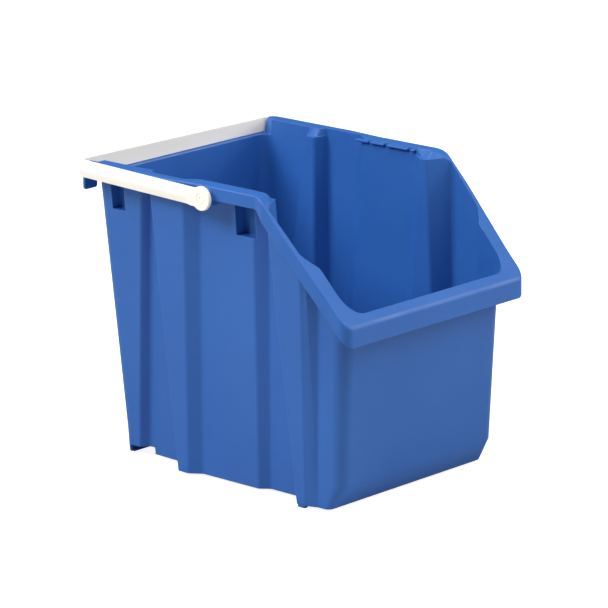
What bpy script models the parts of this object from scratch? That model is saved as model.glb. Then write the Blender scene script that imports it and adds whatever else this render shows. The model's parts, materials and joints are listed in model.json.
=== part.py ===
"""Stackable hopper-front storage bin with a swinging bail handle.

Pieces: one moulded bin body, one moulded carry handle, and the two pivot pins
that hold the handle to the side rims. Metres, +Z up. The bin opens to the
front, which faces -Y. The origin is on the floor, under the middle of the bin.
"""

import math

import bmesh
import bpy
from mathutils import Matrix, Vector

MM = 0.001

# Overall sizes (millimetres)
REAR_PLANE_Y = 178.5        # y of the rear ends of the side rims
BASE_Z = 3.0                # lower edge of the walls; the feet reach z = 0
WALL_HEIGHT = 330.0         # from the lower edge of the walls to the rim
RIM_Z = BASE_Z + WALL_HEIGHT
RIM_LEVEL_DEPTH = 254.0     # length of the level part of the side rims
LIP_DEPTH = 372.0           # rear plane to the front edge of the lip
LIP_Z = BASE_Z + 207.0
WALL = 3.0
GAP = 0.3

# Rim
RIM_PLATE = 3.0
SKIRT_DROP = 15.0
SKIRT_WALL = 2.6
LEDGE_DROP = 8.0            # stacking ledges lie this far under the rim
LEDGE_PLATE = 3.0
RIM_BEND_RADIUS = 20.0
# Outer edge of the rim, rear to front: half width, depth, corner radius
RIM_PLAN = (
    (147.5, -1.5, 9.0),
    (147.5, 118.0, 40.0),
    (143.5, 166.0, 40.0),
    (143.5, 247.0, 12.0),
    (146.8, 259.0, 12.0),
    (146.8, 287.0, 40.0),
    (142.0, 346.0, 40.0),
    (142.0, LIP_DEPTH, 13.0),
)
LIP_INNER_DEPTH = 363.0

# Floor and lower front edge
FLOOR_UNDERSIDE_Z = BASE_Z + 9.5
FLOOR_TOP_Z = FLOOR_UNDERSIDE_Z + WALL
BEVEL_FOOT_DEPTH = 326.0
BEVEL_FOOT_RADIUS = 18.0
BEVEL_RISE = 28.0
FRONT_FOOT_DEPTH = 342.0    # where the front wall would reach the foot without its bevel
FRONT_RIM_DEPTH = 361.5
FRONT_RADIUS = 29.0

# Rear wall, flange and hanging hooks
REAR_WALL_TOP_Z = BASE_Z + 313.0
REAR_NOTCH_HALF_WIDTH = 132.0
REAR_NOTCH_DEPTH = 12.0
RIM_END_X = 146.0           # the skirt's rear end reaches down to the flange, out to here
RIM_END_DEPTHS = (-1.9, 2.2)
REAR_FLANGE_REACH = 15.0
REAR_FLANGE_PLATE = 3.5
HOOK_PLATE = 3.2
HOOK_DROP = 18.0
HOOK_INNER_X = 118.0
HOOK_OUTER_X = 137.0

# Carry handle and its pins
PIVOT_DEPTH = 177.0
PIVOT_Z = BASE_Z + 317.3
HANDLE_REACH = 183.5        # pivot axis to the middle of the crossbar
HANDLE_TILT = math.radians(1.8)
HANDLE_ARM_X = 150.9        # middle of each arm
HANDLE_HEIGHT = 19.0
HANDLE_THICKNESS = 5.0
HANDLE_FLAT_EDGE = 1.5      # thickness of the section's upper and lower edge
HANDLE_CORNER_RADIUS = 4.5
EYE_RADIUS = 13.2
EYE_FACE_X = 153.0          # outer face of the eyes and of the pin heads
EYE_THICKNESS = 4.4
EYE_NECK_RADIUS = 8.5
PIN_RADIUS = 3.6
PIN_HEAD_RADIUS = 5.2
PIN_HEAD_DEPTH = 2.4
PIN_DIMPLE_RADIUS = 1.8
PIN_BEAD_RADIUS = 4.4
PIN_BEAD_X = 132.0          # snap bead near the pin's inner end
PIN_BEAD_LENGTH = 3.0
PIN_INNER_X = 130.2
BOSS_RADIUS = 10.5
BOSS_FACE_X = 144.6
BOSS_ROOT_X = 127.8         # inside the side wall, which closes the pin's bore

# Side wall, rear to front: (half width, depth) at the foot and at the rim,
# corner radius, and whether the corner is the floor of a stacking groove.
SIDE_CORNERS = (
    ((106.0, 10.0), (133.0, -0.5), 12.0, False),
    ((105.5, 30.0), (133.0, 70.0), 4.0, False),
    ((96.5, 38.0), (123.5, 77.0), 6.0, True),
    ((99.0, 97.0), (123.5, 83.0), 5.0, True),
    ((124.0, 107.0), (140.2, 87.0), 2.5, False),
    ((124.0, 122.0), (140.2, 139.0), 7.0, False),
    ((114.5, 136.0), (130.0, 155.0), 9.0, False),
    ((114.5, 217.5), (130.0, 231.0), 7.0, False),
    ((106.5, 228.0), (120.5, 245.5), 7.0, True),
    ((106.5, 274.0), (120.5, 249.5), 5.0, True),
    ((126.5, 284.0), (146.5, 263.0), 2.5, False),
    ((126.5, 296.0), (145.5, 310.0), 7.0, False),
    ((121.5, 310.0), (129.5, 325.0), 6.0, False),
    ((121.5, FRONT_FOOT_DEPTH), (129.5, FRONT_RIM_DEPTH), FRONT_RADIUS, False),
)

# Pockets in the side walls under the rim: depth of the rear corner on the wall,
# depth where the slanted face ends, depth of the front end, half width there.
POCKETS = (
    (22.0, 30.0, 41.0, 124.5),
    (208.5, 216.0, 228.0, 119.5),
)
POCKET_LOW_Z = BASE_Z + 285.5
POCKET_HIGH_Z = RIM_Z - LEDGE_DROP - LEDGE_PLATE
POCKET_CASING = 2.2
POCKET_RAMP = 12.0          # height of the slanted underside of a pocket's casing
POCKET_WALL_X = 134.0
CASING_INSET = 0.8          # a casing ends this far inside the wall's outer face

# Short stacking rests on the inside, under the rim: depth of the rear and front ends
RESTS = ((143.5, 162.0), (164.5, 185.0), (189.0, 219.5))
REST_X = (124.3, 128.5)
REST_TOP_Z = RIM_Z - 3.5
REST_PLATE = 4.0

ARC_STEPS = 4
ABOVE = 200.0               # higher over the rim's slope than any other piece of the body
BAND_HALF_WIDTH = 165.0     # wider than the rim
BLUE = (0.035, 0.125, 0.40, 1.0)
WHITE = (0.86, 0.85, 0.81, 1.0)


def depth_to_y(depth):
    """World y, in millimetres, of a place this far in front of the rear plane."""
    return REAR_PLANE_Y - depth


def fillet(corners, radii, steps=ARC_STEPS):
    """Closed outline through the corners, each one rounded by its radius."""
    outline = []
    count = len(corners)
    for index, corner in enumerate(corners):
        here = Vector(corner)
        before = Vector(corners[index - 1]) - here
        after = Vector(corners[(index + 1) % count]) - here
        half_angle = before.angle(after) / 2
        reach = radii[index] / math.tan(half_angle)
        reach = min(reach, 0.42 * before.length, 0.42 * after.length)
        if reach < 0.05:
            outline.append(here)
            continue
        radius = reach * math.tan(half_angle)
        start = here + before.normalized() * reach
        end = here + after.normalized() * reach
        middle = (before.normalized() + after.normalized()).normalized()
        centre = here + middle * (radius / math.sin(half_angle))
        sweep = (start - centre).angle_signed(end - centre)
        for step in range(steps + 1):
            turn = Matrix.Rotation(-sweep * step / steps, 2)
            outline.append(centre + turn @ (start - centre))
    return outline


def inset(corners, distance):
    """The outline's corners moved inwards, mitred; corners run clockwise."""
    moved = []
    count = len(corners)
    for index, corner in enumerate(corners):
        here = Vector(corner)
        along_in = (here - Vector(corners[index - 1])).normalized()
        along_out = (Vector(corners[(index + 1) % count]) - here).normalized()
        normal_in = Vector((along_in.y, -along_in.x))
        normal_out = Vector((along_out.y, -along_out.x))
        mitre = (normal_in + normal_out) / (1 + normal_in.dot(normal_out))
        moved.append(here + mitre * distance)
    return moved


def front_corner(height):
    """Depth and corner radius of the front wall at a height above the walls' foot."""
    if height >= BEVEL_RISE:
        share = height / WALL_HEIGHT
        return FRONT_FOOT_DEPTH + (FRONT_RIM_DEPTH - FRONT_FOOT_DEPTH) * share, FRONT_RADIUS
    share = height / BEVEL_RISE
    bevel_top_depth, _ = front_corner(BEVEL_RISE)
    depth = BEVEL_FOOT_DEPTH + (bevel_top_depth - BEVEL_FOOT_DEPTH) * share
    return depth, BEVEL_FOOT_RADIUS + (FRONT_RADIUS - BEVEL_FOOT_RADIUS) * share


def plan_outline(height, wall_inset, bridge_grooves=False, front_depth=None):
    """Rounded outline of the walls at a height above their foot, moved inwards."""
    level = height / WALL_HEIGHT
    right = []
    radii = []
    for foot, top, radius, in_groove in SIDE_CORNERS:
        if bridge_grooves and in_groove:
            continue
        half_width = foot[0] + (top[0] - foot[0]) * level
        depth = foot[1] + (top[1] - foot[1]) * level
        right.append((half_width, depth))
        radii.append(radius)
    wall_depth, radii[-1] = front_corner(height)
    right[-1] = (right[-1][0], wall_depth if front_depth is None else front_depth)
    corners = [(x, depth_to_y(depth)) for x, depth in right]
    corners += [(-x, y) for x, y in reversed(corners)]
    return fillet(inset(corners, wall_inset), radii + radii[::-1])


def collection(name):
    """A new collection in the scene."""
    made = bpy.data.collections.new(name)
    bpy.context.scene.collection.children.link(made)
    return made


def object_from(name, bm, group):
    """Put the finished bmesh in a new object; its vertices are in millimetres."""
    bmesh.ops.scale(bm, vec=(MM, MM, MM), verts=bm.verts)
    bmesh.ops.recalc_face_normals(bm, faces=bm.faces)
    mesh = bpy.data.meshes.new(name)
    bm.to_mesh(mesh)
    bm.free()
    made = bpy.data.objects.new(name, mesh)
    group.objects.link(made)
    return made


def as_cutter(made):
    """Show a cutting or joining shape as wire and keep it out of renders."""
    made.hide_render = True
    made.display_type = 'WIRE'
    return made


def loft(name, rings, group):
    """Closed solid through rings of matching points, each ring at one height."""
    bm = bmesh.new()
    rows = []
    for outline, height in rings:
        rows.append([bm.verts.new((point[0], point[1], height)) for point in outline])
    count = len(rows[0])
    for low, high in zip(rows, rows[1:]):
        for index in range(count):
            after = (index + 1) % count
            bm.faces.new((low[index], low[after], high[after], high[index]))
    bm.faces.new(rows[0])
    bm.faces.new(rows[-1])
    bmesh.ops.triangulate(bm, faces=bm.faces)
    return object_from(name, bm, group)


def wall_loft(name, low_z, high_z, group, **shape):
    """Solid that follows the tapering walls between two heights."""
    bevel_top_z = BASE_Z + BEVEL_RISE
    heights = [low_z, high_z]
    if low_z < bevel_top_z < high_z:
        heights.insert(1, bevel_top_z)
    rings = [(plan_outline(height - BASE_Z, **shape), height) for height in heights]
    return loft(name, rings, group)


def plan_prism(name, outline, low_z, high_z, group):
    """Upright prism on a plan outline."""
    return loft(name, [(outline, low_z), (outline, high_z)], group)


def side_prism(name, outline, half_width, group):
    """Prism across the bin on an outline of (y, z) points."""
    bm = bmesh.new()
    verts = [bm.verts.new((-half_width, y, z)) for y, z in outline]
    face = bm.faces.new(verts)
    grown = bmesh.ops.extrude_face_region(bm, geom=[face])
    moved = [item for item in grown['geom'] if isinstance(item, bmesh.types.BMVert)]
    bmesh.ops.translate(bm, vec=(2 * half_width, 0, 0), verts=moved)
    bmesh.ops.triangulate(bm, faces=bm.faces)
    return object_from(name, bm, group)


def block(name, low, high, group):
    """Box between two corners."""
    bm = bmesh.new()
    bmesh.ops.create_cube(bm, size=1.0)
    size = [b - a for a, b in zip(low, high)]
    middle = [(a + b) / 2 for a, b in zip(low, high)]
    bmesh.ops.scale(bm, vec=size, verts=bm.verts)
    bmesh.ops.translate(bm, vec=middle, verts=bm.verts)
    return object_from(name, bm, group)


def cross_cylinder(name, start_x, end_x, radius, group, sides=32):
    """Cylinder along X on the handle's pivot axis."""
    bm = bmesh.new()
    turn = Matrix.Rotation(math.radians(90), 4, 'Y')
    place = Matrix.Translation(((start_x + end_x) / 2, depth_to_y(PIVOT_DEPTH), PIVOT_Z))
    bmesh.ops.create_cone(
        bm, cap_ends=True, segments=sides, radius1=radius, radius2=radius,
        depth=abs(end_x - start_x), matrix=place @ turn)
    return object_from(name, bm, group)


def combine(target, operation, tool):
    """Boolean modifier between two objects."""
    modifier = target.modifiers.new(tool.name, 'BOOLEAN')
    modifier.operation = operation
    modifier.solver = 'EXACT'
    modifier.object = tool


def material(name, color, roughness):
    """Plain Principled material."""
    made = bpy.data.materials.new(name)
    made.use_nodes = True
    shader = made.node_tree.nodes['Principled BSDF']
    shader.inputs['Base Color'].default_value = color
    shader.inputs['Roughness'].default_value = roughness
    shader.inputs['Metallic'].default_value = 0.0
    return made


def rim_line(drop):
    """(y, z) points of the rim's side profile, rear to front, moved down square to it."""
    run = LIP_DEPTH - RIM_LEVEL_DEPTH
    fall = RIM_Z - LIP_Z
    slope = math.atan2(fall, run)
    beyond = 60.0
    tangent = RIM_BEND_RADIUS * math.tan(slope / 2)
    centre_y = depth_to_y(RIM_LEVEL_DEPTH - tangent)
    centre_z = RIM_Z - RIM_BEND_RADIUS
    radius = RIM_BEND_RADIUS - drop
    points = [(depth_to_y(-beyond), RIM_Z - drop)]
    steps = 6
    for step in range(steps + 1):
        angle = slope * step / steps
        points.append((centre_y - radius * math.sin(angle), centre_z + radius * math.cos(angle)))
    end_y, end_z = points[-1]
    reach = run + beyond
    points.append((end_y - reach, end_z - reach * math.tan(slope)))
    return points


def rim_band(name, top_drop, bottom_drop, group):
    """Slab that follows the rim's side profile."""
    outline = rim_line(top_drop) + rim_line(bottom_drop)[::-1]
    return side_prism(name, outline, BAND_HALF_WIDTH, group)


def rim_outline(wall_inset):
    """Plan of the rim's outer edge, moved inwards by wall_inset."""
    corners = [(half_width, depth_to_y(depth)) for half_width, depth, _ in RIM_PLAN]
    corners += [(-x, y) for x, y in reversed(corners)]
    radii = [radius - wall_inset for _, _, radius in RIM_PLAN]
    return fillet(inset(corners, wall_inset), radii + radii[::-1], steps=5)


def pocket_outline(pocket, side, grow, pulled_out=0.0):
    """Plan of one wall pocket, grown for its casing, its floor pulled out by some."""
    rear, slant_end, front, floor_x = pocket
    reach_x = floor_x - grow + pulled_out
    points = [
        (POCKET_WALL_X, rear - grow),
        (reach_x, slant_end - grow / 2),
        (reach_x, front + grow),
        (POCKET_WALL_X, front + grow),
    ]
    return [(side * x, depth_to_y(depth)) for x, depth in points]


def pocket_casing(name, pocket, side, tools):
    """Box that closes a pocket on the inside of the wall, with a slanted underside."""
    full = pocket_outline(pocket, side, POCKET_CASING)
    ramp_foot = pocket_outline(pocket, side, POCKET_CASING, pulled_out=POCKET_RAMP)
    low_z = POCKET_LOW_Z - POCKET_CASING
    rings = [(ramp_foot, low_z - POCKET_RAMP), (full, low_z), (full, RIM_Z - LEDGE_DROP)]
    casing = loft(name, rings, tools)
    limit = wall_loft(f'{name}_limit', low_z - 2 * POCKET_RAMP, RIM_Z, tools, wall_inset=CASING_INSET)
    combine(casing, 'INTERSECT', limit)
    return casing


def build_rim(tools):
    """Rim plate with its skirt, and the collar behind it, as shapes to join."""
    rim = plan_prism('rim', rim_outline(0.0), LIP_Z - 60.0, RIM_Z + 20.0, tools)
    combine(rim, 'INTERSECT', rim_band('rim_level', 0.0, SKIRT_DROP, tools))
    core = plan_prism('rim_core', rim_outline(SKIRT_WALL), LIP_Z - 80.0, RIM_Z + 40.0, tools)
    combine(core, 'DIFFERENCE', rim_band('above_core', -ABOVE, RIM_PLATE, tools))
    combine(rim, 'DIFFERENCE', core)
    collar = wall_loft(
        'rim_collar', LIP_Z - 40.0, RIM_Z + 20.0, tools,
        wall_inset=0.4, bridge_grooves=True, front_depth=LIP_INNER_DEPTH + WALL)
    combine(collar, 'INTERSECT', rim_band('collar_band', 0.4, LEDGE_DROP + LEDGE_PLATE, tools))
    return rim, collar


def build_body(parts, tools, plastic):
    """The one-piece bin body."""
    body = wall_loft('bin_body', BASE_Z, RIM_Z + 5.0, parts, wall_inset=0.0)
    combine(body, 'DIFFERENCE', rim_band('above_rim', -ABOVE, 0.5 * RIM_PLATE, tools))
    for shape in build_rim(tools):
        combine(body, 'UNION', shape)

    flange_low = REAR_WALL_TOP_Z - REAR_FLANGE_PLATE
    flange_rear = depth_to_y(-REAR_FLANGE_REACH)
    combine(body, 'UNION', block(
        'rear_flange', (-HOOK_OUTER_X, depth_to_y(1.0), flange_low),
        (HOOK_OUTER_X, flange_rear, REAR_WALL_TOP_Z), tools))
    combine(body, 'DIFFERENCE', block(
        'rear_notch', (-REAR_NOTCH_HALF_WIDTH, depth_to_y(REAR_NOTCH_DEPTH), REAR_WALL_TOP_Z),
        (REAR_NOTCH_HALF_WIDTH, depth_to_y(-40.0), RIM_Z + 30.0), tools))

    cavity = wall_loft('cavity', FLOOR_TOP_Z, RIM_Z + 15.0, tools, wall_inset=WALL)
    combine(body, 'DIFFERENCE', cavity)
    opening = wall_loft(
        'opening', LIP_Z - 60.0, RIM_Z + 20.0, tools,
        wall_inset=WALL + 0.4, bridge_grooves=True, front_depth=LIP_INNER_DEPTH + WALL + 0.4)
    combine(opening, 'INTERSECT', rim_band('opening_band', -15.0, LEDGE_DROP, tools))
    combine(body, 'DIFFERENCE', opening)
    underside = wall_loft('underside', BASE_Z - 4.0, FLOOR_UNDERSIDE_Z, tools, wall_inset=WALL)
    combine(body, 'DIFFERENCE', underside)

    for side, label in ((1, 'right'), (-1, 'left')):
        add_side_details(body, side, label, tools)
    body.data.materials.append(plastic)
    return body


def add_side_details(body, side, label, tools):
    """Pockets, guide ribs, hook, foot, corner notch and pivot boss of one side."""
    for number, pocket in enumerate(POCKETS, 1):
        combine(body, 'UNION', pocket_casing(
            f'pocket_casing_{label}_{number}', pocket, side, tools))
        combine(body, 'DIFFERENCE', plan_prism(
            f'pocket_{label}_{number}', pocket_outline(pocket, side, 0.0),
            POCKET_LOW_Z, POCKET_HIGH_Z, tools))
    for number, (rear, front) in enumerate(RESTS, 1):
        rest_x = sorted(side * x for x in REST_X)
        combine(body, 'UNION', block(
            f'rest_{label}_{number}', (rest_x[0], depth_to_y(front), REST_TOP_Z - REST_PLATE),
            (rest_x[1], depth_to_y(rear), REST_TOP_Z), tools))

    end_x = sorted((side * REAR_NOTCH_HALF_WIDTH, side * RIM_END_X))
    combine(body, 'UNION', block(
        f'rim_end_{label}', (end_x[0], depth_to_y(RIM_END_DEPTHS[1]), REAR_WALL_TOP_Z - 1.0),
        (end_x[1], depth_to_y(RIM_END_DEPTHS[0]), REAR_WALL_TOP_Z + 6.0), tools))

    hook_x = sorted((side * HOOK_INNER_X, side * HOOK_OUTER_X))
    hook_rear = depth_to_y(-REAR_FLANGE_REACH)
    combine(body, 'UNION', block(
        f'hook_{label}', (hook_x[0], hook_rear - HOOK_PLATE, REAR_WALL_TOP_Z - HOOK_DROP),
        (hook_x[1], hook_rear, REAR_WALL_TOP_Z - 1.0), tools))

    foot = SIDE_CORNERS[10][0], SIDE_CORNERS[11][0]
    foot_x = sorted((side * (foot[0][0] - 6.0), side * (foot[0][0] - 0.5)))
    combine(body, 'UNION', block(
        f'foot_{label}', (foot_x[0], depth_to_y(foot[1][1] - 1.0), 0.0),
        (foot_x[1], depth_to_y(foot[0][1] + 1.0), BASE_Z + 2.0), tools))

    notch_x = sorted((side * 90.0, side * 120.0))
    combine(body, 'DIFFERENCE', block(
        f'corner_notch_{label}', (notch_x[0], depth_to_y(46.0), -1.0),
        (notch_x[1], depth_to_y(17.0), BASE_Z + 8.0), tools))

    combine(body, 'UNION', cross_cylinder(
        f'boss_{label}', side * BOSS_ROOT_X, side * BOSS_FACE_X, BOSS_RADIUS, tools))
    combine(body, 'DIFFERENCE', cross_cylinder(
        f'boss_bore_{label}', side * (PIN_INNER_X - GAP), side * (BOSS_FACE_X + 4.0),
        PIN_RADIUS + GAP, tools))
    combine(body, 'DIFFERENCE', cross_cylinder(
        f'bead_groove_{label}', side * (PIN_BEAD_X - GAP),
        side * (PIN_BEAD_X + PIN_BEAD_LENGTH + GAP), PIN_BEAD_RADIUS + GAP, tools))


def add_rear_foot(body, tools):
    """Bar along the rear wall's lower edge, on which the rear of the bin stands."""
    half_width = SIDE_CORNERS[0][0][0] - 9.0
    depth = SIDE_CORNERS[0][0][1]
    combine(body, 'UNION', block(
        'rear_foot', (-half_width, depth_to_y(depth + WALL), 0.0),
        (half_width, depth_to_y(depth + 0.4), BASE_Z + 2.0), tools))


def handle_section():
    """D section of the bail: (outward, up) points, flat towards the bin."""
    flat = -HANDLE_THICKNESS / 2
    steps = 12
    points = [(flat, -HANDLE_HEIGHT / 2), ]
    for step in range(steps + 1):
        angle = math.radians(-90 + 180 * step / steps)
        bulge = (HANDLE_THICKNESS - HANDLE_FLAT_EDGE) * math.cos(angle)
        outward = flat + HANDLE_FLAT_EDGE + bulge
        points.append((outward, HANDLE_HEIGHT / 2 * math.sin(angle)))
    points.append((flat, HANDLE_HEIGHT / 2))
    return points


def handle_path():
    """(x, y, outward x, outward y) stations of the bail, right eye to left eye."""
    radius = HANDLE_CORNER_RADIUS
    stations = [(HANDLE_ARM_X, 0.0, 1.0, 0.0)]
    steps = 8
    for side in (1, -1):
        turn = range(steps + 1) if side == 1 else range(steps, -1, -1)
        for step in turn:
            angle = math.radians(90 * step / steps)
            out_x = side * math.cos(angle)
            out_y = math.sin(angle)
            x = side * (HANDLE_ARM_X - radius) + radius * out_x
            y = HANDLE_REACH - radius + radius * out_y
            stations.append((x, y, out_x, out_y))
    stations.append((-HANDLE_ARM_X, 0.0, -1.0, 0.0))
    return stations


def build_handle(parts, tools, plastic):
    """U-shaped bail, built about its own pivot axis and tilted into place."""
    bm = bmesh.new()
    section = handle_section()
    rows = []
    for x, y, out_x, out_y in handle_path():
        row = [bm.verts.new((x + out_x * outward, y + out_y * outward, up))
               for outward, up in section]
        rows.append(row)
    count = len(section)
    for row, following in zip(rows, rows[1:]):
        for index in range(count):
            after = (index + 1) % count
            bm.faces.new((row[index], row[after], following[after], following[index]))
    bm.faces.new(rows[0])
    bm.faces.new(rows[-1])
    handle = object_from('carry_handle', bm, parts)
    pivot = Vector((0.0, depth_to_y(PIVOT_DEPTH), PIVOT_Z))
    handle.location = pivot * MM
    handle.rotation_euler = (HANDLE_TILT, 0.0, 0.0)

    inner = BOSS_FACE_X + GAP
    for side, label in ((1, 'right'), (-1, 'left')):
        combine(handle, 'UNION', cross_cylinder(
            f'eye_{label}', side * (EYE_FACE_X - EYE_THICKNESS), side * EYE_FACE_X,
            EYE_RADIUS, tools))
        combine(handle, 'UNION', cross_cylinder(
            f'eye_neck_{label}', side * inner, side * (EYE_FACE_X - 1.0), EYE_NECK_RADIUS, tools))
        combine(handle, 'DIFFERENCE', cross_cylinder(
            f'eye_bore_{label}', side * (inner - 5.0), side * (EYE_FACE_X + 5.0),
            PIN_RADIUS + GAP, tools))
        combine(handle, 'DIFFERENCE', cross_cylinder(
            f'eye_counterbore_{label}', side * (EYE_FACE_X - PIN_HEAD_DEPTH - GAP),
            side * (EYE_FACE_X + 5.0), PIN_HEAD_RADIUS + GAP, tools))
    handle.data.materials.append(plastic)
    return handle


def build_pin(side, label, parts, tools, plastic):
    """Snap-in pivot pin: flush head with a dimple, plain shank, bead near its inner end."""
    head_back = EYE_FACE_X - PIN_HEAD_DEPTH
    pin = cross_cylinder(
        f'pivot_pin_{label}', side * PIN_INNER_X, side * (head_back + 1.0), PIN_RADIUS, parts)
    combine(pin, 'UNION', cross_cylinder(
        f'pin_head_{label}', side * head_back, side * EYE_FACE_X, PIN_HEAD_RADIUS, tools))
    combine(pin, 'UNION', cross_cylinder(
        f'pin_bead_{label}', side * PIN_BEAD_X, side * (PIN_BEAD_X + PIN_BEAD_LENGTH),
        PIN_BEAD_RADIUS, tools))
    combine(pin, 'DIFFERENCE', cross_cylinder(
        f'pin_dimple_{label}', side * (EYE_FACE_X - 1.2), side * (EYE_FACE_X + 3.0),
        PIN_DIMPLE_RADIUS, tools))
    pin.data.materials.append(plastic)
    return pin


def main():
    """Build the whole bin."""
    for existing in list(bpy.data.objects):
        bpy.data.objects.remove(existing)
    parts = collection('stackable_storage_bin')
    tools = collection('cutters')
    blue_plastic = material('blue_plastic', BLUE, 0.42)
    white_plastic = material('white_plastic', WHITE, 0.35)
    body = build_body(parts, tools, blue_plastic)
    add_rear_foot(body, tools)
    build_handle(parts, tools, white_plastic)
    for side, label in ((1, 'right'), (-1, 'left')):
        build_pin(side, label, parts, tools, white_plastic)
    for made in tools.objects:
        as_cutter(made)


main()
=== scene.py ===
import json
import math

import bmesh
import bpy
from mathutils import Matrix, Vector

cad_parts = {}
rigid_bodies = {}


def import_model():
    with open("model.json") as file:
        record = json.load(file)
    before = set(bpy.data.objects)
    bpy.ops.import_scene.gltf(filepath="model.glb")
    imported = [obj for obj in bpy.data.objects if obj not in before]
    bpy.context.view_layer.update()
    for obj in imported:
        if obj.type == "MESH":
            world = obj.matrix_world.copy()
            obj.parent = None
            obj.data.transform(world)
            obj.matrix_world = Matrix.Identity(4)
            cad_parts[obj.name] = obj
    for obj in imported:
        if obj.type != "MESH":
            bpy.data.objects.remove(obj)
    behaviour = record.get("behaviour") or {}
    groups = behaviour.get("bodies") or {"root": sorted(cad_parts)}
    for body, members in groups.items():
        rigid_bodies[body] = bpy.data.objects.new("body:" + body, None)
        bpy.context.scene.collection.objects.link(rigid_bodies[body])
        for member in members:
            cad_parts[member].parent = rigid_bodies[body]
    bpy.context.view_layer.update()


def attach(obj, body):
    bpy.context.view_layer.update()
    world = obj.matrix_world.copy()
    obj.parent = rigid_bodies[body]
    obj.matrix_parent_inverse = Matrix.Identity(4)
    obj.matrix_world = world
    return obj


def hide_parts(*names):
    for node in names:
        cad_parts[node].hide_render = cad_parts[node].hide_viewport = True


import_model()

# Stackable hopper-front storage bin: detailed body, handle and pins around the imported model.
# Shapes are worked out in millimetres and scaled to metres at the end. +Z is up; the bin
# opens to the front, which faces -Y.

MM = 0.001

# Overall sizes
REAR_PLANE_Y = 178.5
BASE_Z = 3.0
WALL_HEIGHT = 330.0
RIM_Z = BASE_Z + WALL_HEIGHT
RIM_LEVEL_DEPTH = 254.0
LIP_DEPTH = 372.0
LIP_Z = BASE_Z + 207.0
WALL = 3.0
GAP = 0.3

# Rim
RIM_PLATE = 3.0
SKIRT_DROP = 15.0
SKIRT_WALL = 2.6
LEDGE_DROP = 8.0
LEDGE_PLATE = 3.0
BRIDGE_X = 131.5            # half width of the rim's inner side over the grooves, plus a wall
LEDGE_SHARE = 0.3           # share of a groove's depth that stays as a level ledge
RIM_BEND_RADIUS = 20.0
RIM_EDGE_RADIUS = 2.4
SKIRT_EDGE_RADIUS = 0.7
RIM_REACH = 26.0
RIM_STEP = 5.0
RIM_PLAN = (
    (147.5, -1.5, 9.0),
    (147.5, 118.0, 40.0),
    (143.5, 166.0, 40.0),
    (143.5, 247.0, 12.0),
    (146.8, 259.0, 12.0),
    (146.8, 287.0, 40.0),
    (142.0, 346.0, 40.0),
    (142.0, LIP_DEPTH, 13.0),
)
LIP_INNER_DEPTH = 363.0
LIP_INNER_RADIUS = 25.0
FLARE_LOW_Z = 187.0
FLARE_HIGH_Z = 219.0

# Floor and lower front edge
FLOOR_UNDERSIDE_Z = BASE_Z + 9.5
FLOOR_TOP_Z = FLOOR_UNDERSIDE_Z + WALL
BEVEL_FOOT_DEPTH = 326.0
BEVEL_FOOT_RADIUS = 18.0
BEVEL_RISE = 28.0
FRONT_FOOT_DEPTH = 342.0
FRONT_RIM_DEPTH = 361.5
FRONT_RADIUS = 29.0

# Rear wall, flange and hanging hooks
REAR_WALL_TOP_Z = BASE_Z + 313.0
REAR_NOTCH_DEPTH = 12.0
REAR_FLANGE_REACH = 15.0
REAR_FLANGE_PLATE = 3.5
HOOK_PLATE = 3.2
HOOK_DROP = 18.0
HOOK_INNER_X = 118.0
HOOK_OUTER_X = 137.0

# Carry handle and its pins
PIVOT_DEPTH = 177.0
PIVOT_Z = BASE_Z + 317.3
HANDLE_REACH = 183.5
HANDLE_TILT = math.radians(1.8)
HANDLE_ARM_X = 150.9
HANDLE_HALF_HEIGHT = 9.5
HANDLE_CORNER_RADIUS = 4.5
EYE_RADII = {'left': 13.0, 'right': 11.7}      # the right eye is slightly smaller
RIGHT_TOP_DROP = 3.2        # the bail's upper edge sags by this at its right rear corner
EYE_FACE_X = 153.0
EYE_THICKNESS = 4.4
EYE_NECK_RADIUS = 8.5
EYE_FILLET = 7.0
PIN_RADIUS = 3.6
PIN_HEAD_RADIUS = 5.2
PIN_HEAD_DEPTH = 2.4
PIN_BEAD_RADIUS = 4.4
PIN_BEAD_X = 132.0
PIN_BEAD_LENGTH = 3.0
PIN_INNER_X = 130.2
BOSS_RADIUS = 10.5
BOSS_FACE_X = 144.6
BOSS_ROOT_X = 127.8

# Side wall, rear to front: (half width, depth) at the foot and at the rim,
# corner radius, and whether the corner is the floor of a stacking groove.
SIDE_CORNERS = (
    ((106.0, 10.0), (133.0, -0.5), 12.0, False),
    ((105.5, 30.0), (133.0, 70.0), 4.0, False),
    ((96.5, 38.0), (123.5, 77.0), 6.0, True),
    ((99.0, 97.0), (123.5, 83.0), 5.0, True),
    ((124.0, 107.0), (140.2, 87.0), 2.5, False),
    ((124.0, 122.0), (140.2, 139.0), 7.0, False),
    ((114.5, 136.0), (130.0, 155.0), 9.0, False),
    ((114.5, 217.5), (130.0, 231.0), 7.0, False),
    ((106.5, 228.0), (120.5, 245.5), 7.0, True),
    ((106.5, 274.0), (120.5, 249.5), 5.0, True),
    ((126.5, 284.0), (146.5, 263.0), 2.5, False),
    ((126.5, 296.0), (145.5, 310.0), 7.0, False),
    ((121.5, 310.0), (129.5, 325.0), 6.0, False),
    ((121.5, FRONT_FOOT_DEPTH), (129.5, FRONT_RIM_DEPTH), FRONT_RADIUS, False),
)

# Wall pockets under the rim: rear depth, depth where the slanted end meets the floor,
# front depth, half width at the floor
POCKETS = (
    (21.0, 23.0, 41.0, 118.5),
    (203.5, 206.0, 231.5, 114.5),
)
POCKET_LOW_Z = BASE_Z + 278.0
POCKET_HIGH_Z = RIM_Z - LEDGE_DROP - LEDGE_PLATE
POCKET_CASING = 2.2
POCKET_RAMP = 12.0
POCKET_WALL_X = 134.0
CASING_INSET = 0.8
SHALLOW_POCKET = 2.0        # depth of the right side's pockets, which have no casings

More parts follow.
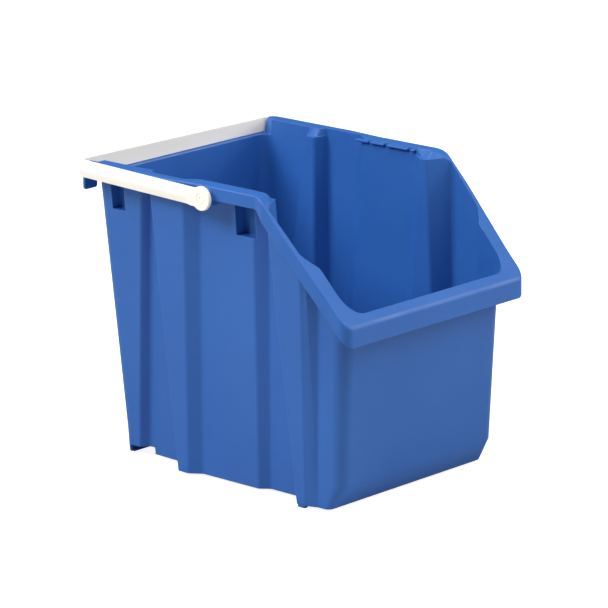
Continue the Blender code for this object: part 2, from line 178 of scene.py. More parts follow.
# Short rests on the middle panels' inner side, as (rear, front) depths
RESTS = ((143.5, 162.0), (164.5, 185.0), (189.0, 219.5), (223.5, 229.5))
REST_X = (123.2, 128.5)
REST_TOP_Z = RIM_Z - 1.6
REST_PLATE = 2.9

ARC_STEPS = 8
ROUND_SIDES = 72
ABOVE = 200.0
BAND_HALF_WIDTH = 165.0

# Rims' rear ends and the notch between them over the rear flange, as (half width, z)
RIM_END_X = (124.0, 146.0)
RIM_END_DEPTHS = (-1.25, 14.0)
REAR_NOTCH_PROFILE = (
    (131.5, REAR_WALL_TOP_Z - 0.02), (136.4, 329.3), (137.3, 331.4), (138.8, 332.7),
    (141.0, 333.2), (141.0, RIM_Z + 30.0),
)

# Notch through the foot rim at each rear corner
CORNER_NOTCH_X = (90.0, 120.0)
CORNER_NOTCH_DEPTHS = (17.0, 46.0)
CORNER_NOTCH_TOP_Z = BASE_Z + 8.0

# Plastics: colours, share of the painted edge highlight tint, roughness, then grain and bevel in
# metres
BLUE_PLASTIC = {
    'light': (0.028, 0.136, 0.465, 1), 'dark': (0.024, 0.123, 0.435, 1),
    'edge_highlight_tint': (0.13, 0.31, 0.66, 1), 'edge_highlight_share': 0.6, 'roughness': 0.42,
    'grain_depth': 0.00005, 'bevel_radius': 0.0011,
}
# The white plastic's glow is a painted glow: a faint warm emission that brightens its shaded parts,
# though it is no lamp
WHITE_PLASTIC = {
    'light': (0.93, 0.91, 0.83, 1), 'dark': (0.90, 0.88, 0.80, 1),
    'edge_highlight_tint': (0.90, 0.89, 0.86, 1), 'edge_highlight_share': 0.3, 'roughness': 0.33,
    'grain_depth': 0.00003, 'bevel_radius': 0.0006, 'glow': 0.11,
}
PAINTED_WARM_GLOW = (1.0, 0.78, 0.52, 1)
SINK_DEPTH = 0.0009

# Studio: surround and floor levels, then (name, place in metres, size, watts) of each light
SURROUND_LIGHT = 0.12
FLOOR_GLOW = 0.9
LIGHTS = (
    ('left_softbox', (-2.0, 1.3, 2.1), (1.2, 1.2), 72.0),
    ('front_softbox', (1.9, -1.9, 1.3), (1.5, 1.4), 38.0),
    ('front_high_softbox', (0.6, -1.6, 2.5), (1.2, 1.2), 24.0),
    ('high_softbox', (-0.8, -0.4, 2.7), (1.4, 1.4), 34.0),
)

# Camera: a long lens on the bin's front left, slightly above it
CAMERA_AZIMUTH = math.radians(-46.75)
CAMERA_ELEVATION = math.radians(14.99)
CAMERA_ROLL = math.radians(-0.79)
CAMERA_TARGET = Vector((0.0, -0.0015, 0.168))
CAMERA_DISTANCE = 4.658
CAMERA_LENS = 256.56
CAMERA_SENSOR = 36.0
TARGET_OFFSET = (0.2, 7.3)      # of the target from the picture's middle, for a 608 px picture
FRAME_SIZE = 608


def depth_to_y(depth):
    """World y, in millimetres, of a place this far in front of the rear plane."""
    return REAR_PLANE_Y - depth


def fillet(corners, radii, steps=ARC_STEPS):
    """Closed outline through the corners, each one rounded by its radius."""
    outline = []
    count = len(corners)
    for index, corner in enumerate(corners):
        here = Vector(corner)
        before = Vector(corners[index - 1]) - here
        after = Vector(corners[(index + 1) % count]) - here
        half_angle = before.angle(after) / 2
        reach = radii[index] / math.tan(half_angle)
        reach = max(min(reach, 0.45 * before.length, 0.45 * after.length), 0.01)
        radius = reach * math.tan(half_angle)
        start = here + before.normalized() * reach
        end = here + after.normalized() * reach
        middle = (before.normalized() + after.normalized()).normalized()
        centre = here + middle * (radius / math.sin(half_angle))
        sweep = (start - centre).angle_signed(end - centre)
        for step in range(steps + 1):
            turn = Matrix.Rotation(-sweep * step / steps, 2)
            outline.append(centre + turn @ (start - centre))
    return outline


def inset(corners, distance):
    """The outline's corners moved inwards, mitred; corners run clockwise."""
    moved = []
    count = len(corners)
    for index, corner in enumerate(corners):
        here = Vector(corner)
        along_in = (here - Vector(corners[index - 1])).normalized()
        along_out = (Vector(corners[(index + 1) % count]) - here).normalized()
        normal_in = Vector((along_in.y, -along_in.x))
        normal_out = Vector((along_out.y, -along_out.x))
        mitre = (normal_in + normal_out) / (1 + normal_in.dot(normal_out))
        moved.append(here + mitre * distance)
    return moved


def front_corner(height):
    """Depth and corner radius of the front wall at a height above the walls' foot."""
    if height >= BEVEL_RISE:
        share = height / WALL_HEIGHT
        return FRONT_FOOT_DEPTH + (FRONT_RIM_DEPTH - FRONT_FOOT_DEPTH) * share, FRONT_RADIUS
    share = height / BEVEL_RISE
    bevel_top_depth, _ = front_corner(BEVEL_RISE)
    depth = BEVEL_FOOT_DEPTH + (bevel_top_depth - BEVEL_FOOT_DEPTH) * share
    return depth, BEVEL_FOOT_RADIUS + (FRONT_RADIUS - BEVEL_FOOT_RADIUS) * share


def plan_outline(height, wall_inset, bridge_grooves=False, front=None, bridged=0.0):
    """Rounded outline of the walls at a height above their foot, moved inwards.

    `bridged` moves the floors of the grooves out by this share, up to the wall beside them.
    """
    level = height / WALL_HEIGHT
    right = []
    radii = []
    for foot, top, radius, in_groove in SIDE_CORNERS:
        if bridge_grooves and in_groove:
            continue
        half_width = foot[0] + (top[0] - foot[0]) * level
        depth = foot[1] + (top[1] - foot[1]) * level
        if in_groove:
            half_width += bridged * (BRIDGE_X - half_width)
        right.append((half_width, depth))
        radii.append(radius)
    wall_depth, radii[-1] = front_corner(height) if front is None else front
    right[-1] = (right[-1][0], wall_depth)
    corners = [(x, depth_to_y(depth)) for x, depth in right]
    corners += [(-x, y) for x, y in reversed(corners)]
    return fillet(inset(corners, wall_inset), radii + radii[::-1])


def object_from(name, bm):
    """Put the finished bmesh in a new object; its vertices stay in millimetres."""
    bmesh.ops.recalc_face_normals(bm, faces=bm.faces)
    mesh = bpy.data.meshes.new(name)
    bm.to_mesh(mesh)
    bm.free()
    made = bpy.data.objects.new(name, mesh)
    bpy.context.scene.collection.objects.link(made)
    return made


def skin(name, rows):
    """Closed solid through rings of matching points, with a cap at each end."""
    bm = bmesh.new()
    verts = [[bm.verts.new(point) for point in row] for row in rows]
    count = len(verts[0])
    for low, high in zip(verts, verts[1:]):
        for index in range(count):
            after = (index + 1) % count
            bm.faces.new((low[index], low[after], high[after], high[index]))
    bm.faces.new(verts[0])
    bm.faces.new(verts[-1])
    bmesh.ops.triangulate(bm, faces=bm.faces)
    return object_from(name, bm)


def loft(name, rings):
    """Closed solid through outlines that each lie at one height."""
    return skin(name, [[(x, y, height) for x, y in outline] for outline, height in rings])


def wall_loft(name, low_z, high_z, foot_round=0.0, **shape):
    """Solid that follows the tapering walls between two heights."""
    wall_inset = shape.pop('wall_inset')
    rings = []
    for step in range(5 if foot_round else 0):
        angle = math.radians(90 * step / 5)
        extra = foot_round * (1 - math.sin(angle))
        z = low_z + foot_round * (1 - math.cos(angle))
        rings.append((plan_outline(z - BASE_Z, wall_inset + extra, **shape), z))
    bevel_top_z = BASE_Z + BEVEL_RISE
    heights = [low_z + foot_round, high_z]
    if low_z < bevel_top_z < high_z:
        heights.insert(1, bevel_top_z)
    rings += [(plan_outline(z - BASE_Z, wall_inset, **shape), z) for z in heights]
    return loft(name, rings)


def flare_loft(name, wall_inset, low_z):
    """The walls' solid whose front leans out to the lip near the slope's foot."""
    lip_front = (LIP_INNER_DEPTH + WALL, LIP_INNER_RADIUS + WALL - wall_inset)
    rings = [(plan_outline(low_z - BASE_Z, wall_inset), low_z)]
    if low_z < FLARE_LOW_Z:
        rings.append((plan_outline(FLARE_LOW_Z - BASE_Z, wall_inset), FLARE_LOW_Z))
    for z in (FLARE_HIGH_Z, RIM_Z + 18.0):
        rings.append((plan_outline(z - BASE_Z, wall_inset, front=lip_front), z))
    return loft(name, rings)


def side_prism(name, outline, half_width):
    """Prism across the bin on an outline of (y, z) points."""
    return skin(name, [[(x, y, z) for y, z in outline] for x in (-half_width, half_width)])


def block(name, low, high, edge=0.0, corner=0.0, across='z'):
    """Box between two corners.

    `corner` rounds its outline, seen along one axis, and `edge` rounds its rims.
    """
    order = {'x': (1, 2, 0), 'y': (0, 2, 1), 'z': (0, 1, 2)}[across]
    a, b, c = order
    corners = [(high[a], high[b]), (high[a], low[b]), (low[a], low[b]), (low[a], high[b])]
    outline = fillet(corners, [max(corner, 0.05)] * 4, steps=6)
    rims = [(edge * (1 - math.sin(math.radians(step * 22.5))),
             edge * (1 - math.cos(math.radians(step * 22.5)))) for step in range(5)]
    if not edge:
        rims = [(0.0, 0.0)]
    levels = [(side_in, low[c] + up) for side_in, up in rims]
    levels += [(side_in, high[c] - up) for side_in, up in reversed(rims)]
    rows = []
    for side_in, level in levels:
        row = []
        for point in (inset(outline, side_in) if side_in else outline):
            place = [0.0, 0.0, 0.0]
            place[a], place[b], place[c] = point[0], point[1], level
            row.append(place)
        rows.append(row)
    return skin(name, rows)


def turned(name, profile, side=1, sides=ROUND_SIDES):
    """Solid turned about the handle's pivot axis from (x, radius) points."""
    rows = []
    for x, radius in profile:
        row = []
        for index in range(sides):
            angle = 2 * math.pi * index / sides
            row.append((side * x, depth_to_y(PIVOT_DEPTH) + radius * math.cos(angle),
                        PIVOT_Z + radius * math.sin(angle)))
        rows.append(row)
    return skin(name, rows)


def cross_cylinder(name, start_x, end_x, radius, side=1):
    """Cylinder along X on the handle's pivot axis."""
    return turned(name, [(start_x, radius), (end_x, radius)], side)


def combine(target, operation, tool):
    """Boolean modifier between two objects."""
    modifier = target.modifiers.new(tool.name, 'BOOLEAN')
    modifier.operation = operation
    modifier.solver = 'MANIFOLD'
    modifier.object = tool


def rim_bend():
    """Centre (y, z) of the rim's bend and the slope's angle."""
    slope = math.atan2(RIM_Z - LIP_Z, LIP_DEPTH - RIM_LEVEL_DEPTH)
    tangent = RIM_BEND_RADIUS * math.tan(slope / 2)
    return depth_to_y(RIM_LEVEL_DEPTH - tangent), RIM_Z - RIM_BEND_RADIUS, slope


def rim_height(y, drop):
    """Height of the rim's surface at a world y, moved down square to itself."""
    centre_y, centre_z, slope = rim_bend()
    radius = RIM_BEND_RADIUS - drop
    end_y = centre_y - radius * math.sin(slope)
    if y >= centre_y:
        return RIM_Z - drop
    if y >= end_y:
        return centre_z + math.sqrt(max(radius ** 2 - (y - centre_y) ** 2, 0.0))
    return centre_z + radius * math.cos(slope) - (end_y - y) * math.tan(slope)


def rim_line(drop):
    """(y, z) points of the rim's side profile, rear to front, moved down square to it."""
    centre_y, centre_z, slope = rim_bend()
    radius = RIM_BEND_RADIUS - drop
    beyond = 60.0
    points = [(depth_to_y(-beyond), RIM_Z - drop)]
    steps = 12
    for step in range(steps + 1):
        angle = slope * step / steps
        points.append((centre_y - radius * math.sin(angle), centre_z + radius * math.cos(angle)))
    end_y, end_z = points[-1]
    reach = LIP_DEPTH - RIM_LEVEL_DEPTH + beyond
    points.append((end_y - reach, end_z - reach * math.tan(slope)))
    return points


def rim_band(name, top_drop, bottom_drop):
    """Slab that follows the rim's side profile."""
    return side_prism(name, rim_line(top_drop) + rim_line(bottom_drop)[::-1], BAND_HALF_WIDTH)


def rim_loop(distance):
    """Plan of the rim's outer edge moved inwards, with evenly spread points."""
    corners = [(half_width, depth_to_y(depth)) for half_width, depth, _ in RIM_PLAN]
    corners += [(-x, y) for x, y in reversed(corners)]
    radii = [radius for _, _, radius in RIM_PLAN]
    radii += radii[::-1]
    steps = 10

    def rounded(amount):
        return fillet(inset(corners, amount), [max(r - amount, 1.2) for r in radii], steps)

    reference = rounded(0.0)
    moved = rounded(distance)
    points = []
    count = len(reference)
    for index in range(count):
        after = (index + 1) % count
        pieces = max(1, math.ceil((reference[after] - reference[index]).length / RIM_STEP))
        for piece in range(pieces):
            points.append(moved[index].lerp(moved[after], piece / pieces))
    return points


def arc(centre, radius, start, end, steps=5):
    """(inset, drop) points of an arc, from one angle to another, in degrees."""
    points = []
    for step in range(steps + 1):
        angle = math.radians(start + (end - start) * step / steps)
        points.append((centre[0] + radius * math.cos(angle), centre[1] - radius * math.sin(angle)))
    return points


def build_rim():
    """Rounded rim plate with its hanging skirt, as one closed ring."""
    edge = RIM_EDGE_RADIUS
    lower = SKIRT_EDGE_RADIUS
    inner = 1.4
    section = [(RIM_REACH, 0.0)]
    section += arc((edge, edge), edge, 90, 180, 6)
    section += arc((lower, SKIRT_DROP - lower), lower, 180, 270, 3)
    section += arc((SKIRT_WALL - lower, SKIRT_DROP - lower), lower, 270, 360, 3)
    section += arc((SKIRT_WALL + inner, RIM_PLATE + inner), inner, 180, 90, 3)
    section += [(RIM_REACH, RIM_PLATE)]
    rows = []
    for distance, drop in section:
        rows.append([(x, y, rim_height(y, drop)) for x, y in rim_loop(distance)])
    bm = bmesh.new()
    verts = [[bm.verts.new(point) for point in row] for row in rows]
    count = len(verts[0])
    for row, following in zip(verts, verts[1:] + verts[:1]):
        for index in range(count):
            after = (index + 1) % count
            bm.faces.new((row[index], row[after], following[after], following[index]))
    bmesh.ops.triangulate(bm, faces=bm.faces)
    return object_from('rim', bm)


def pocket_outline(pocket, side, grow, pulled_out=0.0):
    """Plan of one wall pocket, grown for its casing, its floor pulled out by some."""
    rear, slant_end, front, floor_x = pocket
    reach_x = floor_x - grow + pulled_out
    points = [
        (POCKET_WALL_X, rear - grow),
        (reach_x, slant_end - grow / 2),
        (reach_x, front + grow),
        (POCKET_WALL_X, front + grow),
    ]
    return [(side * x, depth_to_y(depth)) for x, depth in points]


def add_side(body, side, label):
    """Pockets, rests, hook, foot, corner notch and pivot boss of one side."""
    for number, pocket in enumerate(POCKETS, 1):
        outline = pocket_outline(pocket, side, 0.0)
        recess = loft(f'pocket_{label}_{number}', [
            (outline, POCKET_LOW_Z), (outline, POCKET_HIGH_Z)])
        if side > 0:
            combine(recess, 'DIFFERENCE', wall_loft(
                f'pocket_floor_{label}_{number}', POCKET_LOW_Z - 10.0, RIM_Z,
                wall_inset=SHALLOW_POCKET))
            combine(body, 'DIFFERENCE', recess)
            continue
        full = pocket_outline(pocket, side, POCKET_CASING)
        ramp_foot = pocket_outline(pocket, side, POCKET_CASING, pulled_out=POCKET_RAMP)
        low_z = POCKET_LOW_Z - POCKET_CASING
        casing = loft(f'casing_{label}_{number}', [
            (ramp_foot, low_z - POCKET_RAMP), (full, low_z), (full, RIM_Z - LEDGE_DROP)])
        combine(casing, 'INTERSECT', wall_loft(
            f'casing_limit_{label}_{number}', low_z - 2 * POCKET_RAMP, RIM_Z,
            wall_inset=CASING_INSET))
        combine(body, 'UNION', casing)
        combine(body, 'DIFFERENCE', recess)
    for number, (rear, front) in enumerate(RESTS, 1):
        rest_x = sorted(side * x for x in REST_X)
        combine(body, 'UNION', block(
            f'rest_{label}_{number}', (rest_x[0], depth_to_y(front), REST_TOP_Z - REST_PLATE),
            (rest_x[1], depth_to_y(rear), REST_TOP_Z), edge=1.3, corner=1.3))

    hook_x = sorted((side * HOOK_INNER_X, side * HOOK_OUTER_X))
    hook_rear = depth_to_y(-REAR_FLANGE_REACH)
    combine(body, 'UNION', block(
        f'hook_{label}', (hook_x[0], hook_rear - HOOK_PLATE, REAR_WALL_TOP_Z - HOOK_DROP),
        (hook_x[1], hook_rear, REAR_WALL_TOP_Z - 0.6), edge=0.7, corner=3.0, across='y'))

    foot = SIDE_CORNERS[10][0], SIDE_CORNERS[11][0]
    foot_x = sorted((side * (foot[0][0] - 6.0), side * (foot[0][0] - 0.5)))
    combine(body, 'UNION', block(
        f'foot_{label}', (foot_x[0], depth_to_y(foot[1][1] - 1.0), 0.0),
        (foot_x[1], depth_to_y(foot[0][1] + 1.0), BASE_Z + 2.0), edge=0.6, corner=1.0))

    notch_x = sorted(side * x for x in CORNER_NOTCH_X)
    combine(body, 'DIFFERENCE', block(
        f'corner_notch_{label}', (notch_x[0], depth_to_y(CORNER_NOTCH_DEPTHS[1]), -1.0),
        (notch_x[1], depth_to_y(CORNER_NOTCH_DEPTHS[0]), CORNER_NOTCH_TOP_Z),
        corner=1.5, across='x'))

    combine(body, 'UNION', turned(f'boss_{label}', [
        (BOSS_ROOT_X, BOSS_RADIUS), (BOSS_FACE_X - 0.8, BOSS_RADIUS),
        (BOSS_FACE_X - 0.25, BOSS_RADIUS - 0.25), (BOSS_FACE_X, BOSS_RADIUS - 0.8)], side))
    combine(body, 'DIFFERENCE', cross_cylinder(
        f'boss_bore_{label}', PIN_INNER_X - GAP, BOSS_FACE_X + 4.0, PIN_RADIUS + GAP, side))
    combine(body, 'DIFFERENCE', cross_cylinder(
        f'bead_groove_{label}', PIN_BEAD_X - GAP, PIN_BEAD_X + PIN_BEAD_LENGTH + GAP,
        PIN_BEAD_RADIUS + GAP, side))


def build_body():
    """The one-piece bin body."""
    body = wall_loft('body_solid', BASE_Z, RIM_Z + 5.0, foot_round=0.9, wall_inset=0.0)
    combine(body, 'UNION', flare_loft('flare', 0.02, FLARE_LOW_Z))
    combine(body, 'DIFFERENCE', rim_band('above_rim', -ABOVE, 0.5 * RIM_PLATE))
    combine(body, 'UNION', build_rim())
    collar = wall_loft('rim_collar', 290.0, RIM_Z + 20.0, wall_inset=0.4, bridge_grooves=True)
    combine(collar, 'INTERSECT', rim_band('collar_band', 0.4, LEDGE_DROP + LEDGE_PLATE))
    combine(body, 'UNION', collar)

    for side, label in ((1, 'right'), (-1, 'left')):
        end_x = sorted(side * x for x in RIM_END_X)
        combine(body, 'UNION', block(
            f'rim_end_{label}',
            (end_x[0], depth_to_y(RIM_END_DEPTHS[1]), REAR_WALL_TOP_Z - 1.3),
            (end_x[1], depth_to_y(RIM_END_DEPTHS[0]), RIM_Z - 1.5), corner=1.0))
    notch = list(REAR_NOTCH_PROFILE)
    notch += [(-x, z) for x, z in reversed(notch)]
    combine(body, 'DIFFERENCE', skin('rear_notch', [
        [(x, y, z) for x, z in notch] for y in (depth_to_y(REAR_NOTCH_DEPTH), depth_to_y(-40.0))]))
    flange_rear = depth_to_y(-REAR_FLANGE_REACH)
    combine(body, 'UNION', block(
        'rear_flange', (-HOOK_OUTER_X, depth_to_y(1.5), REAR_WALL_TOP_Z - REAR_FLANGE_PLATE),
        (HOOK_OUTER_X, flange_rear, REAR_WALL_TOP_Z), edge=0.8, corner=2.5))

    cavity = wall_loft('cavity', FLOOR_TOP_Z, FLARE_LOW_Z, foot_round=5.0, wall_inset=WALL)
    combine(cavity, 'UNION', flare_loft('flare_inside', WALL, FLARE_LOW_Z - 20.0))
    combine(body, 'DIFFERENCE', cavity)
    levels = ((RIM_Z - LEDGE_DROP, LEDGE_SHARE), (RIM_Z - 0.8, 1.0), (RIM_Z + 20.0, 1.0))
    combine(body, 'DIFFERENCE', loft('opening', [
        (plan_outline(z - BASE_Z, WALL + 0.03, bridged=share), z) for z, share in levels]))
    combine(body, 'DIFFERENCE', wall_loft(
        'underside', BASE_Z - 4.0, FLOOR_UNDERSIDE_Z, wall_inset=WALL))
    for side, label in ((1, 'right'), (-1, 'left')):
        add_side(body, side, label)
    half_width = SIDE_CORNERS[0][0][0] - 9.0
    depth = SIDE_CORNERS[0][0][1]
    combine(body, 'UNION', block(
        'rear_foot', (-half_width, depth_to_y(depth + WALL), 0.0),
        (half_width, depth_to_y(depth + 0.4), BASE_Z + 2.0), edge=0.5, corner=0.8))
    return body


def handle_section(bulge, sag):
    """(outward, up) points of the bar: flat inside, two slanted faces and a soft ridge outside."""
    half = HANDLE_HALF_HEIGHT
    corners = [(-2.5, half), (0.3, half), (2.5, -1.4), (0.3, -half), (-2.5, -half)]
    flat = EYE_FACE_X - HANDLE_ARM_X
    points = fillet(corners, [0.6, 1.0, 4.0, 1.0, 0.6], steps=6)
    return [(o if o < -1.2 else flat + (o - flat) * bulge, u - sag * (u + half) / (2 * half))
            for o, u in points]


def handle_stations():
    """(x, y, outward x, outward y, bulge) along the bail, right eye to left eye."""
    radius = HANDLE_CORNER_RADIUS
    arm = []
    for y in (0.0, 6.0, 12.5, 14.5, 16.5, 18.5, 20.5, 23.0, 60.0, 100.0, 140.0):
        share = min(max((y - 12.5) / 10.5, 0.0), 1.0)
        arm.append((y, share * share * (3 - 2 * share)))
    stations = [(HANDLE_ARM_X, y, 1.0, 0.0, bulge) for y, bulge in arm]
    steps = 10
    for side in (1, -1):
        turn = range(steps + 1) if side == 1 else range(steps, -1, -1)
        for step in turn:
            angle = math.radians(90 * step / steps)
            out_x = side * math.cos(angle)
            out_y = math.sin(angle)
            x = side * (HANDLE_ARM_X - radius) + radius * out_x
            y = HANDLE_REACH - radius + radius * out_y
            stations.append((x, y, out_x, out_y, 1.0))
    stations += [(-HANDLE_ARM_X, y, -1.0, 0.0, bulge) for y, bulge in reversed(arm)]
    return stations


def eye_outline(eye_radius):
    """Clockwise (y, z) outline of an eye with its filleted root on the arm, about the pivot."""
    half = HANDLE_HALF_HEIGHT - 0.02
    root_y = math.sqrt((eye_radius + EYE_FILLET) ** 2 - (half + EYE_FILLET) ** 2)
    root_z = half + EYE_FILLET
    touch = math.atan2(root_z, root_y)
    points = []
    steps = 64
    for step in range(steps + 1):
        angle = touch + (2 * math.pi - 2 * touch) * step / steps
        points.append((eye_radius * math.cos(angle), eye_radius * math.sin(angle)))
    lower = []
    for step in range(1, 9):
        share = step / 8
        start = math.pi + touch
        end = 1.5 * math.pi
        angle = start + (end - start) * share
        lower.append((root_y + EYE_FILLET * math.cos(angle), root_z + EYE_FILLET * math.sin(angle)))
    points += [(y, -z) for y, z in lower]
    points += [(y, z) for y, z in reversed(lower)]
    return points[::-1]


def build_handle():
    """U-shaped bail with its two eyes, tilted about its pivot axis."""
    tilt = Matrix.Rotation(HANDLE_TILT, 2)
    pivot = Vector((depth_to_y(PIVOT_DEPTH), PIVOT_Z))

    def placed(x, y, z):
        turned_yz = pivot + tilt @ Vector((y, z))
        return (x, turned_yz.x, turned_yz.y)

    rows = []
    for x, y, out_x, out_y, bulge in handle_stations():
        sag = RIGHT_TOP_DROP * (0.5 + 0.5 * x / HANDLE_ARM_X) * min(y / HANDLE_REACH, 1.0)
        rows.append([placed(x + out_x * outward, y + out_y * outward, up)
                     for outward, up in handle_section(bulge, sag)])
    handle = skin('handle_bar', rows)
    inner = BOSS_FACE_X + GAP
    edge = 1.1
    back = EYE_FACE_X - EYE_THICKNESS
    for side, label in ((1, 'right'), (-1, 'left')):
        outline = eye_outline(EYE_RADII[label])
        levels = []
        for step in range(5):
            angle = math.radians(22.5 * step)
            levels.append((edge * (1 - math.sin(angle)), edge * (1 - math.cos(angle))))
        rings = [(side_in, back + up) for side_in, up in levels]
        rings += [(side_in, EYE_FACE_X - up) for side_in, up in reversed(levels)]
        combine(handle, 'UNION', skin(f'eye_{label}', [
            [placed(side * x, y, z) for y, z in inset(outline, side_in)] for side_in, x in rings]))
        combine(handle, 'UNION', cross_cylinder(
            f'eye_neck_{label}', inner, EYE_FACE_X - 1.0, EYE_NECK_RADIUS, side))
        combine(handle, 'DIFFERENCE', cross_cylinder(
            f'eye_bore_{label}', inner - 5.0, EYE_FACE_X + 5.0, PIN_RADIUS + GAP, side))
        combine(handle, 'DIFFERENCE', cross_cylinder(
            f'eye_counterbore_{label}', EYE_FACE_X - PIN_HEAD_DEPTH - GAP, EYE_FACE_X + 5.0,
            PIN_HEAD_RADIUS + GAP, side))
    return handle


def build_pin(side, label):
    """Turned snap-in pin: rounded flush head with a dimple, shank, bead near its inner end."""
    head_back = EYE_FACE_X - PIN_HEAD_DEPTH
    profile = [
        (PIN_INNER_X, 0.01), (PIN_INNER_X, 2.8), (PIN_INNER_X + 0.8, PIN_RADIUS),
        (PIN_BEAD_X, PIN_RADIUS), (PIN_BEAD_X + 0.4, 4.1), (PIN_BEAD_X + 1.0, 4.35),
        (PIN_BEAD_X + 1.5, PIN_BEAD_RADIUS), (PIN_BEAD_X + 2.0, 4.35), (PIN_BEAD_X + 2.6, 4.1),
        (PIN_BEAD_X + PIN_BEAD_LENGTH, PIN_RADIUS), (head_back, PIN_RADIUS), (head_back, 4.9),
        (head_back + 0.3, PIN_HEAD_RADIUS), (EYE_FACE_X - 0.6, PIN_HEAD_RADIUS),
        (EYE_FACE_X - 0.3, 5.1), (EYE_FACE_X - 0.08, 4.85), (EYE_FACE_X, 4.5), (EYE_FACE_X, 2.1),
        (EYE_FACE_X - 0.12, 1.85), (EYE_FACE_X - 0.5, 1.5), (EYE_FACE_X - 0.9, 0.9),
        (EYE_FACE_X - 1.05, 0.01)]
    return turned(f'pin_{label}', profile, side, sides=64)


def finished(source, name, body, nodes, material, sharp_angle=32.0):
    """Applied, cleaned copy of a built piece, in metres, standing for its CAD nodes."""
    graph = bpy.context.evaluated_depsgraph_get()
    mesh = bpy.data.meshes.new_from_object(source.evaluated_get(graph))
    mesh.name = name
    bm = bmesh.new()
    bm.from_mesh(mesh)
    bmesh.ops.scale(bm, vec=(MM, MM, MM), verts=bm.verts)
    bmesh.ops.triangulate(bm, faces=[face for face in bm.faces if len(face.verts) > 4])
    bm.to_mesh(mesh)
    bm.free()
    mesh.materials.clear()
    mesh.materials.append(material)
    mesh.polygons.foreach_set('use_smooth', [True] * len(mesh.polygons))
    mesh.set_sharp_from_angle(angle=math.radians(sharp_angle))
    piece = bpy.data.objects.new(name, mesh)
    bpy.context.scene.collection.objects.link(piece)
    normals = piece.modifiers.new('weighted_normals', 'WEIGHTED_NORMAL')
    normals.keep_sharp = True
    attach(piece, body)
    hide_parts(*nodes)
    return piece


def node(tree, kind, **values):
    """New shader node; each value goes to a property or, by its name, to an input socket."""
    made = tree.nodes.new(kind)
    for key, value in values.items():
        if hasattr(made, key):
            setattr(made, key, value)
        else:
            made.inputs[key.replace('_', ' ')].default_value = value
    return made


def plastic(name, light, dark, edge_highlight_tint, edge_highlight_share, roughness, grain_depth, bevel_radius,
            glow=0.0):
    """Moulded plastic: fine grain, slow colour and gloss changes, softened edges with a painted
    highlight tint broken up by noise.
    """
    made = bpy.data.materials.new(name)
    made.use_nodes = True
    tree = made.node_tree
    links = tree.links
    shader = tree.nodes['Principled BSDF']
    shader.inputs['IOR'].default_value = 1.46
    shader.inputs['Specular IOR Level'].default_value = 0.42
    # Painted glow: a faint warm emission, set by glow, brightens the plastic in shade though it is
    # no lamp
    shader.inputs['Emission Color'].default_value = PAINTED_WARM_GLOW
    shader.inputs['Emission Strength'].default_value = glow
    place = node(tree, 'ShaderNodeTexCoord')

    def noise(scale, detail, rough=0.5):
        made_noise = node(tree, 'ShaderNodeTexNoise', Scale=scale, Detail=detail, Roughness=rough)
        links.new(place.outputs['Object'], made_noise.inputs['Vector'])
        return made_noise.outputs['Fac']

    def ranged(value, low, high, to_low, to_high):
        made_range = node(tree, 'ShaderNodeMapRange', From_Min=low, From_Max=high,
                          To_Min=to_low, To_Max=to_high)
        links.new(value, made_range.inputs['Value'])
        return made_range.outputs['Result']

    def math_node(operation, first, second):
        made_math = node(tree, 'ShaderNodeMath', operation=operation)
        links.new(first, made_math.inputs[0])
        links.new(second, made_math.inputs[1])
        return made_math.outputs['Value']

    tone = node(tree, 'ShaderNodeMix', data_type='RGBA')
    tone.inputs['A'].default_value = dark
    tone.inputs['B'].default_value = light
    links.new(ranged(noise(7.0, 4.0), 0.32, 0.68, 0.0, 1.0), tone.inputs['Factor'])

    soft = node(tree, 'ShaderNodeBevel', samples=8, Radius=bevel_radius)
    flat = node(tree, 'ShaderNodeNewGeometry')
    facing = node(tree, 'ShaderNodeVectorMath', operation='DOT_PRODUCT')
    links.new(soft.outputs['Normal'], facing.inputs[0])
    links.new(flat.outputs['Normal'], facing.inputs[1])
    # Painted highlight: where the bevelled normal turns from the true one, edges get a lighter tint
    # for the light lines along them, broken up by noise
    edge = ranged(facing.outputs['Value'], 0.99, 0.80, 0.0, edge_highlight_share)
    highlight_breakup = ranged(noise(90.0, 6.0, 0.65), 0.38, 0.62, 0.45, 1.0)
    edge_highlight_mix = node(tree, 'ShaderNodeMix', data_type='RGBA')
    edge_highlight_mix.inputs['B'].default_value = edge_highlight_tint
    links.new(math_node('MULTIPLY', edge, highlight_breakup), edge_highlight_mix.inputs['Factor'])
    links.new(tone.outputs['Result'], edge_highlight_mix.inputs['A'])
    links.new(edge_highlight_mix.outputs['Result'], shader.inputs['Base Color'])

    gloss = ranged(noise(26.0, 5.0, 0.6), 0.3, 0.7, roughness - 0.05, roughness + 0.06)
    fine = ranged(noise(420.0, 3.0), 0.3, 0.7, -0.02, 0.02)
    links.new(math_node('ADD', gloss, fine), shader.inputs['Roughness'])

    grain = node(tree, 'ShaderNodeBump', Strength=1.0, Distance=grain_depth)
    links.new(noise(1500.0, 2.0, 0.6), grain.inputs['Height'])
    links.new(soft.outputs['Normal'], grain.inputs['Normal'])
    sink = node(tree, 'ShaderNodeBump', Strength=1.0, Distance=SINK_DEPTH)
    links.new(noise(16.0, 2.0), sink.inputs['Height'])
    links.new(grain.outputs['Normal'], sink.inputs['Normal'])
    links.new(sink.outputs['Normal'], shader.inputs['Normal'])
    return made


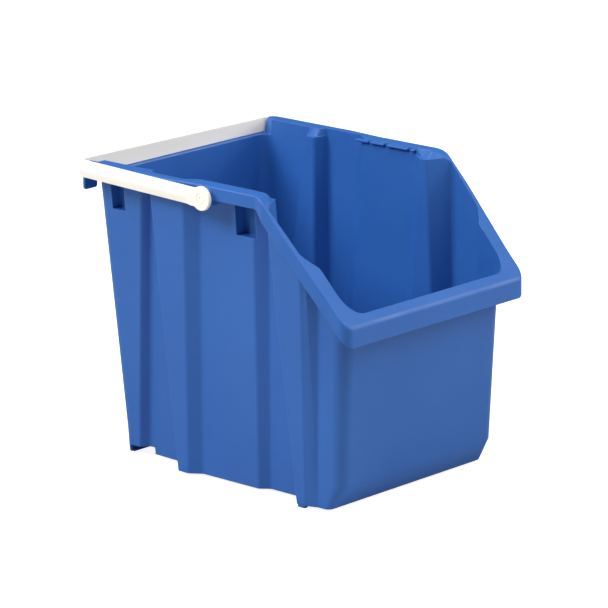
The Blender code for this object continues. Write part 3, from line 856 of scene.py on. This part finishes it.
def studio():
    """Pale floor, soft lights and an even pale surround."""
    scene = bpy.context.scene
    bm = bmesh.new()
    half = 9.0
    bmesh.ops.create_grid(bm, x_segments=2, y_segments=2, size=half)
    mesh = bpy.data.meshes.new('studio_floor')
    bm.to_mesh(mesh)
    bm.free()
    floor = bpy.data.objects.new('studio_floor', mesh)
    floor.location.z = -0.0002
    scene.collection.objects.link(floor)
    paper = bpy.data.materials.new('studio_paper')
    paper.use_nodes = True
    shader = paper.node_tree.nodes['Principled BSDF']
    shader.inputs['Base Color'].default_value = (0.60, 0.60, 0.60, 1.0)
    shader.inputs['Roughness'].default_value = 0.9
    shader.inputs['Emission Color'].default_value = (1.0, 1.0, 1.0, 1.0)
    seen = paper.node_tree.nodes.new('ShaderNodeLightPath')
    glow = node(paper.node_tree, 'ShaderNodeMath', operation='MULTIPLY')
    glow.inputs[1].default_value = FLOOR_GLOW
    paper.node_tree.links.new(seen.outputs['Is Camera Ray'], glow.inputs[0])
    paper.node_tree.links.new(glow.outputs['Value'], shader.inputs['Emission Strength'])
    shader.inputs['Specular IOR Level'].default_value = 0.1
    mesh.materials.append(paper)

    surround = bpy.data.worlds.new('studio_surround')
    scene.world = surround
    surround.use_nodes = True
    tree = surround.node_tree
    background = tree.nodes['Background']
    background.inputs['Color'].default_value = (1.0, 1.0, 1.0, 1.0)
    path = tree.nodes.new('ShaderNodeLightPath')
    level = node(tree, 'ShaderNodeMapRange', To_Min=SURROUND_LIGHT, To_Max=1.0)
    tree.links.new(path.outputs['Is Camera Ray'], level.inputs['Value'])
    tree.links.new(level.outputs['Result'], background.inputs['Strength'])

    target = Vector((0.0, 0.0, 0.16))
    for name, place, size, power in LIGHTS:
        lamp = bpy.data.lights.new(name, 'AREA')
        lamp.shape = 'RECTANGLE'
        lamp.size, lamp.size_y = size
        lamp.energy = power
        made = bpy.data.objects.new(name, lamp)
        made.location = place
        made.rotation_euler = (target - Vector(place)).to_track_quat('-Z', 'Y').to_euler()
        scene.collection.objects.link(made)


def camera():
    """Camera at the photograph's angle."""
    scene = bpy.context.scene
    a, e = CAMERA_AZIMUTH, CAMERA_ELEVATION
    back = Vector((math.sin(a) * math.cos(e), -math.cos(a) * math.cos(e), math.sin(e)))
    level = (-back).cross(Vector((0, 0, 1))).normalized()
    upright = level.cross(-back)
    cos, sin = math.cos(CAMERA_ROLL), math.sin(CAMERA_ROLL)
    right = cos * level + sin * upright
    up = -sin * level + cos * upright
    focal = CAMERA_LENS / CAMERA_SENSOR * FRAME_SIZE
    off_x, off_y = (value / focal * CAMERA_DISTANCE for value in TARGET_OFFSET)
    place = CAMERA_TARGET + back * CAMERA_DISTANCE + up * off_y - right * off_x
    lens = bpy.data.cameras.new('photo_camera')
    lens.lens = CAMERA_LENS
    lens.sensor_width = CAMERA_SENSOR
    lens.clip_end = 100.0
    made = bpy.data.objects.new('photo_camera', lens)
    scene.collection.objects.link(made)
    made.matrix_world = Matrix((
        (right.x, up.x, back.x, place.x), (right.y, up.y, back.y, place.y),
        (right.z, up.z, back.z, place.z), (0, 0, 0, 1)))
    scene.camera = made


def main():
    """Build every piece and set the stage."""
    before = set(bpy.data.objects)
    blue = plastic('moulded_blue', **BLUE_PLASTIC)
    white = plastic('moulded_white', **WHITE_PLASTIC)
    sources = [
        (build_body(), 'bin_moulding', 'bin', ['bin_body'], 'blue_plastic', blue),
        (build_handle(), 'bail_handle', 'handle', ['carry_handle'], 'white_plastic', white),
        (build_pin(1, 'right'), 'pin_right', 'bin', ['pivot_pin_right'], 'pin_plastic', white),
        (build_pin(-1, 'left'), 'pin_left', 'bin', ['pivot_pin_left'], 'pin_plastic', white),
    ]
    working = [made for made in bpy.data.objects if made not in before]
    for source, name, body, nodes, slot, material in sources:
        source.name = f'{name}_source'
        finished(source, name, body, nodes, material)
    for made in working:
        bpy.data.objects.remove(made)
    studio()
    camera()
    bpy.context.scene.view_settings.view_transform = 'Standard'


main()
